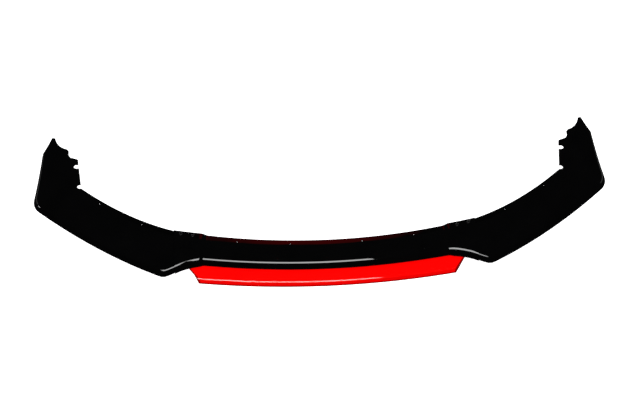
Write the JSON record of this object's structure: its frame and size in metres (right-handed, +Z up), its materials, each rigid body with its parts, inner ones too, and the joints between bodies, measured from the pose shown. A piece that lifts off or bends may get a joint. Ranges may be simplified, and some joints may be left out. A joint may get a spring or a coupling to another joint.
{
  "type": "front splitter lip",
  "caption": "Black front bumper lip: a centre section lapped over two swept wings with notched rising tips, and a red splitter blade screwed underneath.",
  "frame": {"origin": "centre of the bounding box's bottom face, on the ground plane and in the car's middle plane", "axes": "+Z up as fitted under the bumper, +X to the right as seen from in front of the car, so towards the left or kerb side of a forward-facing driver's mirror image; the front of the car is towards -Y"},
  "size_m": [1.808, 0.575, 0.11],
  "materials": {
    "gloss_black": "glossy black moulded plastic",
    "gloss_red": "glossy red moulded plastic",
    "black_screw": "black zinc plated steel",
    "zinc": "bright zinc plated steel"
  },
  "bodies": {
    "root": {"centre_lip": "gloss_black", "left_wing": "gloss_black", "right_wing": "gloss_black", "splitter_blade": "gloss_red", "lap_bolt_left_inner": "black_screw", "lap_bolt_left_outer": "black_screw", "lap_bolt_right_inner": "black_screw", "lap_bolt_right_outer": "black_screw", "lap_washer_left_inner": "zinc", "lap_washer_left_outer": "zinc", "lap_washer_right_inner": "zinc", "lap_washer_right_outer": "zinc", "lap_nut_left_inner": "zinc", "lap_nut_left_outer": "zinc", "lap_nut_right_inner": "zinc", "lap_nut_right_outer": "zinc", "blade_screw_1": "black_screw", "blade_screw_2": "black_screw", "blade_screw_3": "black_screw", "blade_screw_4": "black_screw", "blade_screw_5": "black_screw", "blade_washer_1": "zinc", "blade_washer_2": "zinc", "blade_washer_3": "zinc", "blade_washer_4": "zinc", "blade_washer_5": "zinc"}
  },
  "joints": []
}
